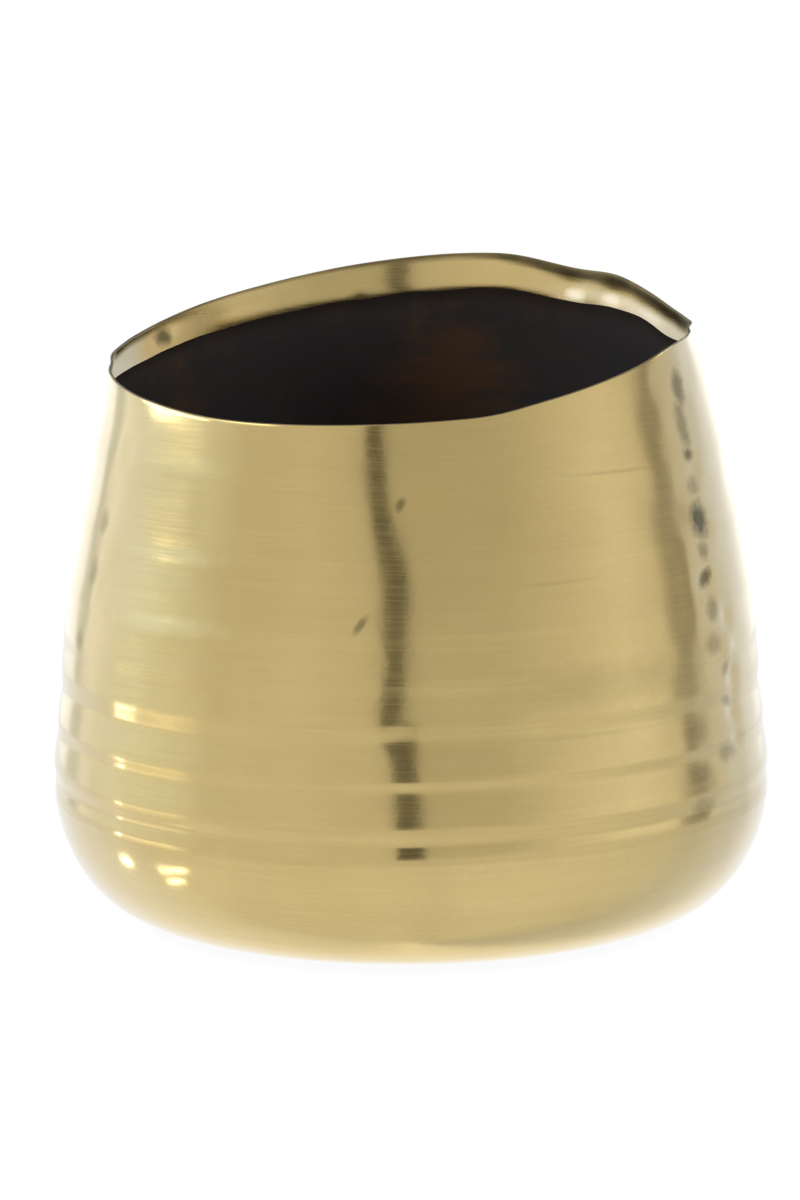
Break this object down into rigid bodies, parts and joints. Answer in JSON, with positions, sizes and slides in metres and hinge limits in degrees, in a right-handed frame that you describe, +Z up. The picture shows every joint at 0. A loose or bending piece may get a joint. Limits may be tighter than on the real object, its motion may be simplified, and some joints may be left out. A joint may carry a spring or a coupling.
{
  "type": "planter pot",
  "caption": "Low, rounded brass planter pot that leans in to a slanted, wavy, slightly pinched mouth, with a dark waterproof lining and felt pads under its base.",
  "frame": {"origin": "on the pot's turned axis, at the level of the felt pads' undersides", "axes": "+Z up along the pot's axis; -Y towards the low side of the mouth, +X towards the mouth's pinched end"},
  "size_m": [0.2034, 0.2034, 0.1812],
  "materials": {
    "brass": "satin, brushed round the body, lacquered",
    "lining": "dark waterproof lacquer, semi-gloss, brown patches",
    "felt": "pressed wool felt"
  },
  "bodies": {
    "root": {"vessel_shell": "brass", "waterproof_lining": "lining", "felt_pad_1": "felt", "felt_pad_2": "felt", "felt_pad_3": "felt", "felt_pad_4": "felt"}
  },
  "joints": []
}
